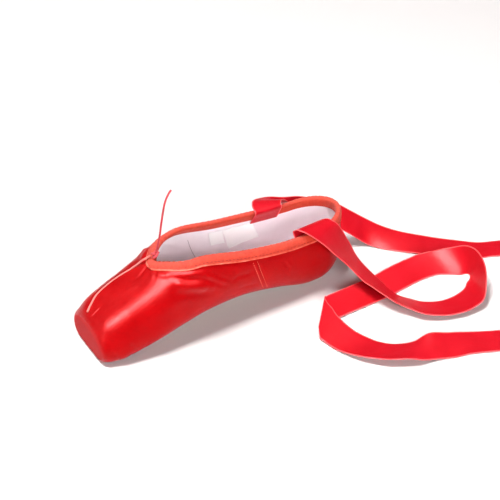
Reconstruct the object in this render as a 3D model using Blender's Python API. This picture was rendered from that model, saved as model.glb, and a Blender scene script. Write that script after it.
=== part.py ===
# Pointe shoe standing empty on its platform's edge and its heel, toe towards -X, in metres.
# The upper, binding, insole and outsole are all cut from one function, lastPoint. Places along
# the shoe are measured from the platform; placeObject moves the middle of the length to the origin.
import bpy
import bmesh
from math import acos, cos, pi, radians, sin, sqrt
from mathutils import Vector
from mathutils.bvhtree import BVHTree

mm = 0.001

# Driving sizes of the upper
shoeLength = 235 * mm
ballWidth = 73 * mm
boxWall = 2.6 * mm
quarterWall = 1.6 * mm
boxWallEnd = 0.27
quarterWallStart = 0.40
throatStation = 0.268
throatLength = 0.095
heelRoundShare = 0.12
heelTuckTop = 5 * mm
heelTuckBottom = 10 * mm
platformRound = 4 * mm
fitClearance = 0.3 * mm

# Outsole, insole and binding
soleThickness = 1.6 * mm
soleMargin = 4 * mm
insoleThickness = 1.5 * mm
insoleClearance = 0.55 * mm
insoleSideClearance = 0.8 * mm
insoleRim = 1.5 * mm
insoleTip = 0.06
insoleHeel = 0.965
insoleTipShare = 0.06
plugClearance = 0.6 * mm
plugEndShare = 0.02
bindingDepth = 9.5 * mm
bindingThroatDepth = 6 * mm
bindingThroatReach = 45 * mm
bindingThickness = 1.1 * mm
bindingInsideDepth = 8 * mm
bindingClearance = 0.45 * mm

# Ribbons and drawstring
ribbonWidth = 25 * mm
ribbonThickness = 0.5 * mm
nearFoldSlant = 0.7
farFoldSlant = 1.0
cordDiameter = 1.6 * mm
knotDiameter = 2.0 * mm
knotRing = 1.9
knotReach = 0.9
knotLift = 1.55

# Sections of the last. Station is the share of the length from the platform to the heel.
# halfWidth is a share of the ball's half width; bottom and crown are heights in mm; widest is the
# height share where the section is widest; mouth is the collar's share of the section's half width.
lastColumns = ("station", "halfWidth", "bottom", "crown", "widest", "mouth")
lastRows = (
    (0.00, 0.735, -0.6, 26.5, 0.45, 0.00),
    (0.06, 0.905, -0.6, 35.5, 0.42, 0.00),
    (0.13, 0.960, 3.0, 43.2, 0.40, 0.00),
    (0.21, 1.000, 7.9, 51.5, 0.38, 0.00),
    (0.30, 0.975, 12.0, 65.5, 0.36, 0.45),
    (0.40, 0.940, 16.0, 75.0, 0.34, 0.64),
    (0.55, 0.890, 17.0, 73.5, 0.34, 0.77),
    (0.70, 0.885, 11.5, 72.5, 0.34, 0.81),
    (0.82, 0.830, 3.0, 73.2, 0.34, 0.81),
    (0.88, 0.785, 1.6, 74.5, 0.34, 0.81),
    (1.00, 0.715, 1.6, 80.5, 0.34, 0.82),
)
lowerPower = 3.2
upperPower = 2.15

# Outline of the outsole from its tip to its heel end: half width in mm at each station.
soleColumns = ("station", "halfWidth")
soleRows = (
    (0.118, 16.0),
    (0.20, 20.5),
    (0.28, 21.5),
    (0.40, 18.0),
    (0.55, 14.5),
    (0.70, 15.5),
    (0.82, 17.5),
    (0.90, 17.5),
    (0.965, 16.0),
)
soleTipShare = 0.07
soleHeelShare = 0.07
soleEdgeCut = 0.35
endShare = 0.0015

# Ribbon edges in mm: one row is one line across the ribbon, from its first edge to its second.
edgeColumns = ("ax", "ay", "az", "bx", "by", "bz")
nearRibbonRows = (
    (182, -25, 63, 206, -21, 62),
    (190, -32, 58, 214, -26, 57),
    (201, -36, 47, 223, -27, 41),
    (211, -39, 34, 231, -29, 26),
    (218, -46, 24, 237, -35, 16),
    (223, -56, 17, 240, -47, 10),
    (226, -67, 15, 242, -58, 7),
    (230, -78, 12, 244, -66, 4),
    (235, -89, 9, 247, -73, 2),
    (242, -100, 7, 252, -80, 1),
    (250, -111, 6, 259, -89, 1),
    (262, -118, 5, 272, -96, 1),
    (277, -121, 5, 286, -99, 2),
    (291, -119, 6, 300, -97, 2),
    (302, -114, 8, 309, -92, 2),
    (310, -106, 13, 316, -87, 2),
    (317, -96, 17, 319, -82, 1),
    (322, -82, 18, 319, -78, 1),
    (322, -69, 16, 317, -75, 1),
    (318, -58, 12, 313, -73, 1),
    (308, -48, 9, 306, -69, 1),
    (294, -42, 8, 296, -65, 1),
    (277, -41, 7, 281, -64, 1),
    (257, -43, 7, 260, -66, 1),
    (238, -45, 6, 241, -69, 1),
    (223, -45, 6, 223, -70, 1),
    (210, -44, 6, 205, -72, 1),
    (202, -43, 6, 189, -74, 1),
    (197, -43, 6, 174, -76, 2),
    (194, -44, 7, 165, -77, 3),
    (191, -49, 8, 162, -80, 4),
    (188, -58, 8, 160, -84, 3),
    (187, -67, 7, 159, -88, 2),
    (187, -76, 7, 159, -94, 1),
    (188, -86, 6, 160, -102, 1),
    (190, -96, 5, 162, -110, 2),
    (193, -106, 4, 167, -119, 4),
    (198, -115, 3, 173, -128, 6),
    (206, -125, 3, 186, -138, 7),
    (218, -131, 4, 203, -146, 7),
    (232, -134, 8, 220, -151, 3),
    (247, -138, 5, 236, -156, 1),
    (265, -142, 2, 250, -161, 1),
    (286, -151, 1, 271, -170, 1),
    (302, -158, 1, 287, -177, 1),
)
farRibbonRows = (
    (168, 28, 62, 190, 20, 61),
    (175, 36, 61, 196, 27, 60),
    (189, 41, 56, 206, 32, 50),
    (205, 42, 51, 216, 31, 33),
    (222, 40, 48, 230, 30, 27),
    (238, 35, 43, 243, 22, 23),
    (254, 28, 37, 252, 13, 17),
    (266, 22, 29, 262, 6, 9),
    (277, 17, 20, 271, 1, 3),
    (289, 9, 12, 281, -10, 1),
    (302, -1, 7, 291, -21, 1),
    (315, -12, 5, 303, -33, 1),
    (329, -23, 3, 314, -43, 1),
    (344, -36, 2, 328, -55, 1),
    (358, -46, 1, 341, -65, 1),
    (374, -53, 1, 355, -70, 1),
    (385, -57, 1, 375, -79, 1),
    (404, -63, 2, 396, -87, 1),
    (428, -73, 4, 416, -95, 1),
    (451, -86, 7, 437, -106, 1),
    (473, -107, 9, 451, -117, 1),
    (482, -134, 10, 458, -132, 1),
    (474, -162, 9, 454, -146, 1),
    (453, -179, 7, 441, -157, 1),
    (428, -186, 4, 424, -162, 1),
    (403, -187, 2, 403, -163, 1),
    (378, -184, 1, 382, -160, 1),
    (355, -180, 1, 359, -156, 1),
    (334, -178, 1, 336, -154, 1),
)

# Where the ribbons are sewn inside the quarters: rows down the wall, then out over the collar.
ribbonSewnLow = 45 * mm
ribbonSewnHigh = 52 * mm
nearSewnMiddle = 190 * mm
farSewnMiddle = 178 * mm
ribbonWallGap = 1.2 * mm
ribbonGapAtCasing = 3.0 * mm
ribbonOverCollar = 3 * mm

# The drawstring's lying end: station along the upper, angle round the section, and how far its
# underside stands off the satin, in mm.
lyingColumns = ("station", "angle", "lift")
lyingRows = (
    (0.266, 85, 3.6),
    (0.256, 82, 2.9),
    (0.243, 78, 2.2),
    (0.225, 73, 0.9),
    (0.205, 69, 0.3),
    (0.180, 66, 0.3),
    (0.150, 64, 0.3),
    (0.110, 64, 0.3),
    (0.075, 67, 0.3),
    (0.045, 74, 0.3),
    (0.022, 80, 0.3),
)

# The knot sits just over the casing at the throat; the standing end is measured from the knot, in mm.
knotPlace = (1.5, 1.2, 5.1)
standingRows = (
    (1, 0, 3),
    (2, -1, 9),
    (3.5, -2, 17),
    (5.5, -2, 28),
    (7.5, -2, 38),
    (9.5, -2, 45.5),
    (12, -2, 50.5),
    (15, -2, 54.5),
)


def clearScene():
    for item in list(bpy.data.objects):
        bpy.data.objects.remove(item, do_unlink=True)


def columnAt(rows, column, position):
    """Reads one column between its rows with a smooth curve."""
    places = [row[0] for row in rows]
    values = [row[column] for row in rows]
    position = min(max(position, places[0]), places[-1])
    last = len(rows) - 2
    span = min(sum(1 for place in places[1:] if place <= position), last)
    slopes = []
    for index in range(span, span + 2):
        low = max(index - 1, 0)
        high = min(index + 1, len(rows) - 1)
        slopes.append((values[high] - values[low]) / (places[high] - places[low]))
    width = places[span + 1] - places[span]
    t = (position - places[span]) / width
    return (
        values[span] * (1 + 2 * t) * (1 - t) ** 2
        + values[span + 1] * t * t * (3 - 2 * t)
        + slopes[0] * width * t * (1 - t) ** 2
        - slopes[1] * width * t * t * (1 - t)
    )


def lastColumn(name, station):
    return columnAt(lastRows, lastColumns.index(name), station)


def wallAt(station):
    share = (station - boxWallEnd) / (quarterWallStart - boxWallEnd)
    share = min(max(share, 0), 1)
    return boxWall + (quarterWall - boxWall) * share


def roundInset(station, inset):
    """How far the section shrinks where the platform's edge is rounded."""
    radius = max(platformRound - inset, 1.5 * mm)
    reach = 1 - min(station * shoeLength / radius, 1)
    return radius * (1 - sqrt(1 - reach * reach))


def section(station, inset):
    """Half width, bottom, widest height, crown and flattest floor of the section at one station."""
    shrink = inset + roundInset(station, inset)
    reach = max(0, (station - 1 + heelRoundShare) / heelRoundShare)
    halfWidth = lastColumn("halfWidth", station) * ballWidth / 2 - shrink
    halfWidth *= sqrt(max(0, 1 - reach * reach))
    low = lastColumn("bottom", station) * mm
    high = lastColumn("crown", station) * mm
    middle = low + (high - low) * lastColumn("widest", station)
    return halfWidth, low + shrink, middle, high - shrink, shrink


def lastPoint(station, angle, inset=0.0):
    """A point of the last: angle -90 is under the foot, 0 the side, 90 the crown."""
    halfWidth, low, middle, high, floor = section(station, inset)
    power = upperPower if angle >= 0 else lowerPower
    across = abs(cos(angle)) ** (2 / power)
    rise = abs(sin(angle)) ** (2 / power)
    height = middle + (high - middle) * rise if angle >= 0 else middle - (middle - low) * rise
    height = max(height, floor)
    tuck = rise * (heelTuckTop if angle >= 0 else heelTuckBottom)
    end = shoeLength - inset - tuck
    return Vector((inset + station * (end - inset), halfWidth * across, height))


def mouthAngle(station):
    """Angle at which the collar cuts the section; 90 in front of the throat."""
    if station <= throatStation:
        return pi / 2
    reach = max(0, (throatStation + throatLength - station) / throatLength)
    share = lastColumn("mouth", station) * sqrt(1 - reach * reach)
    return acos(share ** (upperPower / 2))


def soleHalfWidth(station):
    """Half width of the outsole, rounded off at its tip and its heel."""
    first = soleRows[0][0]
    final = soleRows[-1][0]
    if station <= first or station >= final:
        return 0.0
    width = columnAt(soleRows, soleColumns.index("halfWidth"), station) * mm
    tip = max(0, 1 - (station - first) / soleTipShare)
    heel = max(0, 1 - (final - station) / soleHeelShare)
    return width * sqrt(1 - tip * tip) * sqrt(1 - heel * heel)


def openHalfWidth(station):
    """Half width of the opening that the outsole closes."""
    return max(soleHalfWidth(station) - soleMargin, 0)


def underAngle(station, inset):
    """Angle at which the underside's opening cuts the section."""
    halfWidth = max(section(station, inset)[0], 0.01 * mm)
    share = min(openHalfWidth(station) / halfWidth, 1)
    return -acos(share ** (lowerPower / 2))


def stations():
    """Stations along the shoe, closer together at the platform, throat and heel."""
    platform = [0, 0.15, 0.45, 1]
    result = [share * platformRound / shoeLength for share in platform]
    first = result[-1]
    for step in range(1, 14):
        result.append(first + (throatStation - first) * step / 13)
    for step in range(1, 7):
        result.append(throatStation + throatLength * (1 - cos(pi / 2 * step / 6)))
    start = throatStation + throatLength
    heelStart = 1 - heelRoundShare
    for step in range(1, 15):
        result.append(start + (heelStart - start) * step / 14)
    for step in range(1, 9):
        result.append(heelStart + heelRoundShare * sin(pi / 2 * step / 8))
    return result


def sectionAngles(station, inset):
    under = underAngle(station, inset)
    top = mouthAngle(station)
    lower = [under * (1 - step / 7) for step in range(7)]
    upper = [top * step / 8 for step in range(9)]
    return lower + upper


def addFaces(mesh, grid, closed=False):
    """Makes quads between the rows of a grid of vertices."""
    for first, second in zip(grid, grid[1:]):
        count = len(first)
        for index in range(count if closed else count - 1):
            other = (index + 1) % count
            corners = [first[index], first[other], second[other], second[index]]
            mesh.faces.new(corners)


def placeObject(name, data):
    """Links an object, moved so that the middle of the shoe's length stands at the origin."""
    item = bpy.data.objects.new(name, data)
    item.location.x = -shoeLength / 2
    bpy.data.collections["pointe_shoe"].objects.link(item)
    return item


def addObject(name, mesh, material):
    bmesh.ops.remove_doubles(mesh, verts=mesh.verts, dist=0.01 * mm)
    bmesh.ops.dissolve_degenerate(mesh, edges=mesh.edges, dist=0.005 * mm)
    bmesh.ops.recalc_face_normals(mesh, faces=mesh.faces)
    if mesh.calc_volume(signed=True) < 0:
        bmesh.ops.reverse_faces(mesh, faces=mesh.faces)
    data = bpy.data.meshes.new(name)
    mesh.to_mesh(data)
    mesh.free()
    data.materials.append(material)
    return placeObject(name, data)


def makeMaterial(name, colour, roughness):
    material = bpy.data.materials.new(name)
    material.use_nodes = True
    shader = material.node_tree.nodes["Principled BSDF"]
    shader.inputs["Base Color"].default_value = (*colour, 1)
    shader.inputs["Roughness"].default_value = roughness
    material.diffuse_color = (*colour, 1)
    return material


def surfaceGrid(inside, side):
    """Rows of points over one half of the upper, from the platform's middle to the heel."""
    platformInset = boxWall if inside else 0
    rim = [lastPoint(0, angle, platformInset) for angle in sectionAngles(0, platformInset)]
    middle = lastPoint(0, 0, platformInset).z
    rows = []
    for share in (0, 0.4, 0.75):
        centre = Vector((rim[0].x, 0, middle))
        rows.append([centre.lerp(point, share) for point in rim])
    for station in stations():
        inset = wallAt(station) if inside else 0
        rows.append([lastPoint(station, angle, inset) for angle in sectionAngles(station, inset)])
    return [[Vector((point.x, point.y * side, point.z)) for point in row] for row in rows]


def makeUpper(material):
    mesh = bmesh.new()
    capRows = 3
    allStations = stations()
    for side in (-1, 1):
        outer = [[mesh.verts.new(point) for point in row] for row in surfaceGrid(False, side)]
        inner = [[mesh.verts.new(point) for point in row] for row in surfaceGrid(True, side)]
        addFaces(mesh, outer)
        addFaces(mesh, inner)
        for index in range(len(allStations) - 1):
            near = index + capRows
            far = near + 1
            if allStations[index + 1] > throatStation + 1e-6:
                mesh.faces.new([outer[near][-1], outer[far][-1], inner[far][-1], inner[near][-1]])
            opening = max(openHalfWidth(station) for station in allStations[index:index + 2])
            if opening > 0:
                mesh.faces.new([outer[near][0], outer[far][0], inner[far][0], inner[near][0]])
    return addObject("upper", mesh, material)


def surfaceTree(inside):
    """Search tree over the whole outer or inner surface of the upper."""
    points = []
    faces = []
    for side in (-1, 1):
        grid = surfaceGrid(inside, side)
        start = len(points)
        width = len(grid[0])
        points.extend(point for row in grid for point in row)
        for row in range(len(grid) - 1):
            for column in range(width - 1):
                corner = start + row * width + column
                faces.append((corner, corner + 1, corner + width + 1, corner + width))
    return BVHTree.FromPolygons(points, faces)


def collarStations():
    return [station for station in stations() if station >= throatStation - 1e-6]


def collarFrames():
    """Collar points with the directions out of the wall and down the wall."""
    half = []
    for station in collarStations():
        angle = mouthAngle(station)
        point = lastPoint(station, angle)
        nudge = 0.02
        shy = min(station, 1 - 1e-4)
        side = lastPoint(shy, angle - nudge) - lastPoint(shy, angle)
        along = lastPoint(station - 0.004, angle) - lastPoint(min(station + 0.004, 1), angle)
        out = side.cross(along).normalized()
        if out.y < -1e-6:
            out = -out
        half.append((point, out, wallAt(station)))
    front, heel = half[0], half[-1]
    half[0] = (front[0], Vector((front[1].x, 0, abs(front[1].z))).normalized(), front[2])
    half[-1] = (heel[0], Vector((1, 0, 0.1)).normalized(), heel[2])
    loop = [(Vector((p.x, -p.y, p.z)), Vector((n.x, -n.y, n.z)), wall) for p, n, wall in half]
    loop += half[-2:0:-1]
    frames = []
    count = len(loop)
    for index, (point, out, wall) in enumerate(loop):
        tangent = (loop[(index + 1) % count][0] - loop[index - 1][0]).normalized()
        down = tangent.cross(out).normalized()
        out = down.cross(tangent).normalized()
        frames.append((point, out, down, wall))
    return frames


def casingDepth(place):
    """Depth of the casing's outer leg, shallow round the throat and full along the quarters."""
    share = min(max(place - throatStation * shoeLength, 0) / bindingThroatReach, 1)
    return bindingThroatDepth + (bindingDepth - bindingThroatDepth) * share * share * (3 - 2 * share)


def makeBinding(material):
    """The casing: a folded strip over the collar's rim, following both faces of the wall."""
    outerTree = surfaceTree(False)
    innerTree = surfaceTree(True)
    gap = bindingClearance
    thick = bindingThickness
    inside = bindingInsideDepth
    outsideLeg = ((1, 0.4), (0.88, 1.0), (0.5, 1.25), (0.15, 1.15))
    insideLeg = ((inside * 0.1, 0.9), (inside * 0.5, 1.0), (inside * 0.88, 0.85), (inside, 0.35))
    insideReturn = ((inside, 0), (inside * 0.5, 0), (inside * 0.1, 0))
    outsideReturn = ((0.1, 0.1), (0.3, 0.12), (0.6, 0.12), (1, 0.08))
    mesh = bmesh.new()
    rows = []

    def onWall(tree, point, out, sign, distance, lift, down):
        target = point + down * distance
        place, normal = tree.find_nearest(target)[:2]
        if normal.dot(out) * sign < 0:
            normal = -normal
        return place + normal * (gap + thick * lift)

    for point, out, down, wall in collarFrames():
        rim = point - out * wall
        depth = casingDepth(point.x)
        row = []
        for share, lift in outsideLeg:
            row.append(onWall(outerTree, point, out, 1, depth * share, lift, down))
        row.append(point + out * (gap + thick * 0.6) - down * (gap + thick * 0.7))
        row.append((point + rim) / 2 - down * (gap + thick * 1.1))
        row.append(rim - out * (gap + thick * 0.5) - down * (gap + thick * 0.7))
        for distance, lift in insideLeg:
            row.append(onWall(innerTree, rim, out, -1, distance, lift, down))
        for distance, lift in insideReturn:
            row.append(onWall(innerTree, rim, out, -1, distance, lift, down))
        row.append(rim - out * gap - down * gap)
        row.append(point + out * gap - down * gap)
        for share, lift in outsideReturn:
            row.append(onWall(outerTree, point, out, 1, depth * share, lift, down))
        rows.append([mesh.verts.new(corner) for corner in row])
    rows.append(rows[0])
    addFaces(mesh, rows, closed=True)
    return addObject("binding", mesh, material)


def bottomHeight(station, across, inset):
    """Height of the last's underside at one station, a distance out from the middle."""
    halfWidth, low, middle, high, floor = section(station, inset)
    share = min(abs(across) / halfWidth, 0.999)
    height = middle - (middle - low) * (1 - share ** lowerPower) ** (1 / lowerPower)
    return max(height, floor)


def stationUnder(place, inset):
    """Station whose underside lies at this place along the shoe."""
    return (place - inset) / (shoeLength - 2 * inset - heelTuckBottom)


def placeUnder(station):
    return station * (shoeLength - heelTuckBottom)


def endedStations(first, final, count):
    """Stations from one end to the other, closer together at both ends."""
    return [first + (final - first) * (1 - cos(pi * step / count)) / 2 for step in range(count + 1)]


def makeOutsole(material):
    """A sheet under the last, its top one clearance below the upper's underside."""
    first = soleRows[0][0] + endShare
    final = soleRows[-1][0] - endShare
    shares = (-1, -0.94, -0.75, -0.4, 0, 0.4, 0.75, 0.94, 1)
    mesh = bmesh.new()
    tops = []
    lows = []
    for station in endedStations(first, final, 30):
        halfWidth = soleHalfWidth(station)
        place = placeUnder(station)
        topRow = []
        lowRow = []
        for share in shares:
            cut = soleEdgeCut if abs(share) == 1 else 0
            across = share * halfWidth
            top = bottomHeight(station, across, 0) - fitClearance
            low = top - soleThickness * (1 - cut)
            topRow.append(mesh.verts.new((place, across, top)))
            lowRow.append(mesh.verts.new((place, across, max(low, 0))))
        tops.append(topRow)
        lows.append(lowRow)
    loops = [top + low[::-1] for top, low in zip(tops, lows)]
    addFaces(mesh, loops, closed=True)
    for top, low in ((tops[0], lows[0]), (tops[-1], lows[-1])):
        addFaces(mesh, [top, low])
    return addObject("outsole", mesh, material)


def insoleHalfWidth(station, inset):
    """Half width of the sock: the inside's width near its floor, less a clearance."""
    halfWidth, low, middle, high, floor = section(station, inset)
    height = max(low, floor) + insoleThickness + insoleClearance
    share = (1 - ((middle - height) / (middle - low)) ** lowerPower) ** (1 / lowerPower)
    return halfWidth * share - insoleSideClearance


def makeInsole(material):
    """The sock: it lies on the upper's turned-in edge and fills the opening over the outsole."""
    mesh = bmesh.new()
    tops = []
    lows = []
    shifts = (-plugEndShare, 0, plugEndShare)
    for outerStation in endedStations(insoleTip, insoleHeel, 30):
        place = placeUnder(outerStation)
        wall = wallAt(outerStation)
        innerStation = stationUnder(place, wall)
        tip = max(0, 1 - (outerStation - insoleTip) / insoleTipShare)
        heel = max(0, 1 - (insoleHeel - outerStation) / insoleTipShare)
        ends = sqrt(max(1 - tip * tip, 0.04)) * sqrt(max(1 - heel * heel, 0.04))
        halfWidth = insoleHalfWidth(innerStation, wall) * ends
        opening = min(openHalfWidth(outerStation + shift) for shift in shifts)
        step = min(opening - plugClearance, halfWidth - insoleRim)
        filled = step > insoleRim
        step = max(step, 0.4 * mm)
        ledge = step + 0.1 * mm
        between = (halfWidth + step) / 2
        topRow = []
        lowRow = []
        rightHalf = (step, ledge, between, halfWidth)
        for across in [-value for value in reversed(rightHalf)] + [0, *rightHalf]:
            rest = bottomHeight(innerStation, across, wall) + insoleClearance
            low = rest
            if filled and abs(across) <= step:
                low = bottomHeight(outerStation, across, 0) + fitClearance
            topRow.append(mesh.verts.new((place, across, rest + insoleThickness)))
            lowRow.append(mesh.verts.new((place, across, low)))
        tops.append(topRow)
        lows.append(lowRow)
    loops = [top + low[::-1] for top, low in zip(tops, lows)]
    addFaces(mesh, loops, closed=True)
    for top, low in ((tops[0], lows[0]), (tops[-1], lows[-1])):
        addFaces(mesh, [top, low])
    return addObject("insole", mesh, material)


def smoothRows(rows, steps):
    """Catmull-Rom points through the rows."""
    result = []
    for index in range(len(rows) - 1):
        before = rows[max(index - 1, 0)]
        start = rows[index]
        end = rows[index + 1]
        after = rows[min(index + 2, len(rows) - 1)]
        for step in range(steps):
            t = step / steps
            result.append(
                tuple(
                    0.5 * (2 * b + (c - a) * t + (2 * a - 5 * b + 4 * c - d) * t * t
                           + (3 * b - a - 3 * c + d) * t ** 3)
                    for a, b, c, d in zip(before, start, end, after)
                )
            )
    result.append(tuple(rows[-1]))
    return result


def innerHalfWidthAt(position, height):
    """Half width of the upper's inside at a place along the shoe and a height."""
    station = position / (shoeLength - quarterWall)
    halfWidth, low, middle, high, floor = section(station, quarterWall)
    share = min(max((height - middle) / (high - middle), 0), 1)
    return halfWidth * (1 - share ** upperPower) ** (1 / upperPower)


def sewnRows(middle, side):
    """Ribbon rows inside the quarter: sewn flat to the lining, then up past the casing."""
    rows = []
    collar = lastPoint(middle / shoeLength, mouthAngle(middle / shoeLength)).z
    heights = (ribbonSewnLow, ribbonSewnHigh, collar + ribbonOverCollar)
    gaps = (ribbonWallGap, ribbonGapAtCasing, ribbonGapAtCasing)
    for height, gap in zip(heights, gaps):
        row = []
        for shift in (-ribbonWidth / 2, ribbonWidth / 2):
            across = innerHalfWidthAt(middle + shift, height) - gap
            row += [(middle + shift) / mm, side * across / mm, height / mm]
        rows.append(tuple(row))
    return rows


def makeRibbon(name, rows, foldSlant, material):
    """A flat strip through rows of edge points. Slanted rows are longer, down to foldSlant."""
    mesh = bmesh.new()
    middles = []
    acrosses = []
    for row in smoothRows(rows, 2):
        cell = dict(zip(edgeColumns, row))
        first = Vector((cell["ax"], cell["ay"], cell["az"])) * mm
        second = Vector((cell["bx"], cell["by"], cell["bz"])) * mm
        middles.append((first + second) / 2)
        acrosses.append((second - first).normalized())
    loops = []
    for index, (middle, across) in enumerate(zip(middles, acrosses)):
        along = middles[min(index + 1, len(middles) - 1)] - middles[max(index - 1, 0)]
        slant = max(along.normalized().cross(across).length, foldSlant)
        half = across * ribbonWidth / 2 / slant
        lift = along.cross(across).normalized() * ribbonThickness / 2
        lowest = min((middle + half).z, (middle - half).z) - abs(lift.z)
        middle = middle + Vector((0, 0, max(0.1 * mm - lowest, 0)))
        first = middle - half
        second = middle + half
        corners = (first - lift, second - lift, second + lift, first + lift)
        loops.append([mesh.verts.new(corner) for corner in corners])
    addFaces(mesh, loops, closed=True)
    mesh.faces.new(loops[0])
    mesh.faces.new(loops[-1])
    return addObject(name, mesh, material)


def makeCord(name, points, diameter, material):
    """A round cord through points, as a polyline curve."""
    curve = bpy.data.curves.new(name, "CURVE")
    curve.dimensions = "3D"
    curve.bevel_depth = diameter / 2
    curve.bevel_resolution = 1
    curve.use_fill_caps = True
    curve.render_resolution_u = 0
    spline = curve.splines.new("POLY")
    spline.points.add(len(points) - 1)
    for target, point in zip(spline.points, points):
        target.co = (*point, 1)
    curve.materials.append(material)
    return placeObject(name, curve)


def knotPoints(knotCentre):
    """A small overhand knot: a loose trefoil squeezed flat."""
    points = []
    for step in range(22):
        turn = radians(step * 720 / 24 * 0.97)
        ring = knotRing + knotReach * cos(1.5 * turn)
        rise = knotLift * sin(1.5 * turn)
        points.append(knotCentre + Vector((ring * cos(turn), ring * sin(turn), rise)) * mm)
    return points


def makeShoe():
    clearScene()
    collection = bpy.data.collections.new("pointe_shoe")
    bpy.context.scene.collection.children.link(collection)
    satin = makeMaterial("satin", (0.72, 0.01, 0.02), 0.35)
    casing = makeMaterial("casing", (0.85, 0.13, 0.07), 0.8)
    leather = makeMaterial("sole_leather", (0.62, 0.5, 0.36), 0.7)
    sock = makeMaterial("sock", (0.82, 0.75, 0.76), 0.85)
    ribbon = makeMaterial("ribbon_satin", (0.74, 0.02, 0.03), 0.4)
    cord = makeMaterial("cord", (0.75, 0.08, 0.09), 0.7)

    makeUpper(satin)
    makeOutsole(leather)
    makeInsole(sock)
    makeBinding(casing)

    nearRows = sewnRows(nearSewnMiddle, -1) + list(nearRibbonRows)
    farRows = sewnRows(farSewnMiddle, 1) + list(farRibbonRows)
    makeRibbon("ribbon_near", nearRows, nearFoldSlant, ribbon)
    makeRibbon("ribbon_far", farRows, farFoldSlant, ribbon)

    knotCentre = lastPoint(throatStation, pi / 2) + Vector(knotPlace) * mm
    makeCord("drawstring_knot", knotPoints(knotCentre), knotDiameter, cord)
    lying = []
    for row in lyingRows:
        cell = dict(zip(lyingColumns, row))
        angle = radians(cell["angle"])
        outward = Vector((-0.35, cos(angle), sin(angle))).normalized()
        offset = cordDiameter / 2 + cell["lift"] * mm
        lying.append(lastPoint(cell["station"], angle) + outward * offset)
    makeCord("drawstring_end_lying", lying, cordDiameter, cord)
    standing = [knotCentre + Vector(row) * mm for row in standingRows]
    makeCord("drawstring_end_standing", standing, cordDiameter, cord)


makeShoe()
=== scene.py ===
# Dresses the red satin pointe shoe: satin upper with its creases, casing, drawstring, ribbons,
# lining, labels, sock and sole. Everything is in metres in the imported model's own frame.
import bpy
import math
import numpy as np
from mathutils import Matrix, Vector
from mathutils.bvhtree import BVHTree


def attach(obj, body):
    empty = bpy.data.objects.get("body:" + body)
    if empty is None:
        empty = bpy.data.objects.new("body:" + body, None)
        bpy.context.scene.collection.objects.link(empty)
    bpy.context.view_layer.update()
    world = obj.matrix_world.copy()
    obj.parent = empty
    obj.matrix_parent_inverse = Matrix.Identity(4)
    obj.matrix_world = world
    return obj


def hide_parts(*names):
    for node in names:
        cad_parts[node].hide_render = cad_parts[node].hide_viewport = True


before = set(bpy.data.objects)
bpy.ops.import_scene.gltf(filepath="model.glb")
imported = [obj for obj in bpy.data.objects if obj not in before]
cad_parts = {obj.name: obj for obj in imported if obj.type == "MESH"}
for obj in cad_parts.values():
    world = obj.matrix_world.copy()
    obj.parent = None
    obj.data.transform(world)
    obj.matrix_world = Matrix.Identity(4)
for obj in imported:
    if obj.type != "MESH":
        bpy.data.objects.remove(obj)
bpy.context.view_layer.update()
mm = 0.001
print("frame loaded")

view = {
    "azimuth": 31.659,
    "elevation": 34.108,
    "offset": (-0.026062, -0.042791, 0.908344),  # of the origin, right, up and ahead of the lens
    "lens": 79.2,
    "sensor": 36,
    "near": 0.01,
}


def addCamera():
    turn = math.radians(view["azimuth"])
    tilt = math.radians(view["elevation"])
    level = math.cos(tilt)
    ahead = Vector((math.sin(turn) * level, math.cos(turn) * level, -math.sin(tilt)))
    right = Vector((math.cos(turn), -math.sin(turn), 0))
    up = right.cross(ahead)
    across, above, away = view["offset"]
    eye = -(right * across + up * above + ahead * away)
    bpy.ops.object.camera_add(location=eye)
    item = bpy.context.object
    item.matrix_world = Matrix.Translation(eye) @ Matrix((right, up, -ahead)).transposed().to_4x4()
    item.data.lens = view["lens"]
    item.data.sensor_width = view["sensor"]
    item.data.clip_start = view["near"]
    bpy.context.scene.camera = item


addCamera()
print("camera placed")


def clearSelection():
    bpy.ops.object.select_all(action="DESELECT")


def selectOnly(*items):
    clearSelection()
    for item in items:
        item.select_set(True)
    bpy.context.view_layer.objects.active = items[0]


# A grid primitive laid out on a table of points, row by row.
def gridPiece(name, columns, rows, points, uv=None):
    clearSelection()
    bpy.ops.mesh.primitive_grid_add(x_subdivisions=columns - 1, y_subdivisions=rows - 1, size=2)
    item = bpy.context.object
    item.name = name
    mesh = item.data
    mesh.name = name
    flat = np.empty(len(mesh.vertices) * 3)
    mesh.vertices.foreach_get("co", flat)
    flat = flat.reshape(-1, 3)
    column = np.rint((flat[:, 0] + 1) / 2 * (columns - 1)).astype(int)
    row = np.rint((flat[:, 1] + 1) / 2 * (rows - 1)).astype(int)
    mesh.vertices.foreach_set("co", points[row, column].ravel())
    if uv is not None:
        corner = np.empty(len(mesh.loops), dtype=int)
        mesh.loops.foreach_get("vertex_index", corner)
        mesh.uv_layers[0].data.foreach_set("uv", uv[row[corner], column[corner]].ravel())
    mesh.update()
    return item


def editAll(item, *steps):
    selectOnly(item)
    bpy.ops.object.mode_set(mode="EDIT")
    bpy.ops.mesh.select_all(action="SELECT")
    for step in steps:
        step()
    bpy.ops.object.mode_set(mode="OBJECT")


def mergeAndTurnOut(item, distance=0.02 * mm):
    editAll(
        item,
        lambda: bpy.ops.mesh.remove_doubles(threshold=distance),
        lambda: bpy.ops.mesh.normals_make_consistent(inside=False),
    )


def joinPieces(items, name):
    selectOnly(*items)
    bpy.ops.object.join()
    items[0].name = name
    return items[0]


def addWall(item, thickness, offset=0.0):
    selectOnly(item)
    wall = item.modifiers.new("wall", "SOLIDIFY")
    wall.thickness = thickness
    wall.offset = offset
    bpy.ops.object.modifier_apply(modifier=wall.name)


def finishPiece(item, material):
    item.data.materials.clear()
    item.data.materials.append(material)
    item.data.polygons.foreach_set("use_smooth", [True] * len(item.data.polygons))
    item.data.update()
    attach(item, "root")


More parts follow.
